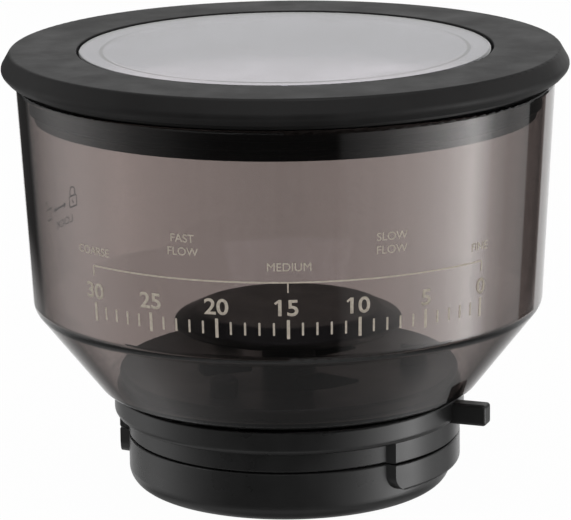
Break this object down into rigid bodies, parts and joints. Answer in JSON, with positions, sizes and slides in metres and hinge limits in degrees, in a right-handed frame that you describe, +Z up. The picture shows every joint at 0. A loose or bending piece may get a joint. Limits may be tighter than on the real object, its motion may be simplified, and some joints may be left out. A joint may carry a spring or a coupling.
{
  "type": "coffee grinder bean hopper",
  "caption": "Smoked clear bean hopper with a plug lid, a turning lever collar that shuts the bean ports, and a bayonet base ring with a round outlet.",
  "frame": {"origin": "on the hopper's axis, at the underside of the feet", "axes": "+Z up along the hopper's axis, -Y towards the front with the printed scale, +X to the right, near the lever"},
  "size_m": [0.1358, 0.1358, 0.1076],
  "materials": {
    "lid_black": "fine matt",
    "clear_window": "clear",
    "seal_rubber": "matt",
    "smoked_clear": "polished, clear",
    "inner_black": "satin",
    "collar_black": "semi-gloss",
    "glide_white": "waxy",
    "screw_steel": "zinc plated"
  },
  "bodies": {
    "hopper": {"hopper_bowl": "smoked_clear", "bowl_gasket": "seal_rubber", "throat_plate": "inner_black", "finger_guard": "inner_black", "guard_screw": "screw_steel", "base_ring": "collar_black", "glide_ring": "glide_white", "base_feet": "seal_rubber", "base_screws": "screw_steel"},
    "gate": {"gate_ring": "collar_black"},
    "lid": {"lid_ring": "lid_black", "lid_window": "clear_window", "lid_seal": "seal_rubber"}
  },
  "joints": [
    {"name": "gate_turn", "type": "hinge", "parent": "hopper", "child": "gate", "pos_m": [0, 0, 0.0184], "axis": [0, 0, 1], "range_deg": [0, 50]},
    {"name": "lid_lift", "type": "slide", "parent": "hopper", "child": "lid", "axis": [0, 0, 1], "range_m": [0, 0.03]}
  ]
}
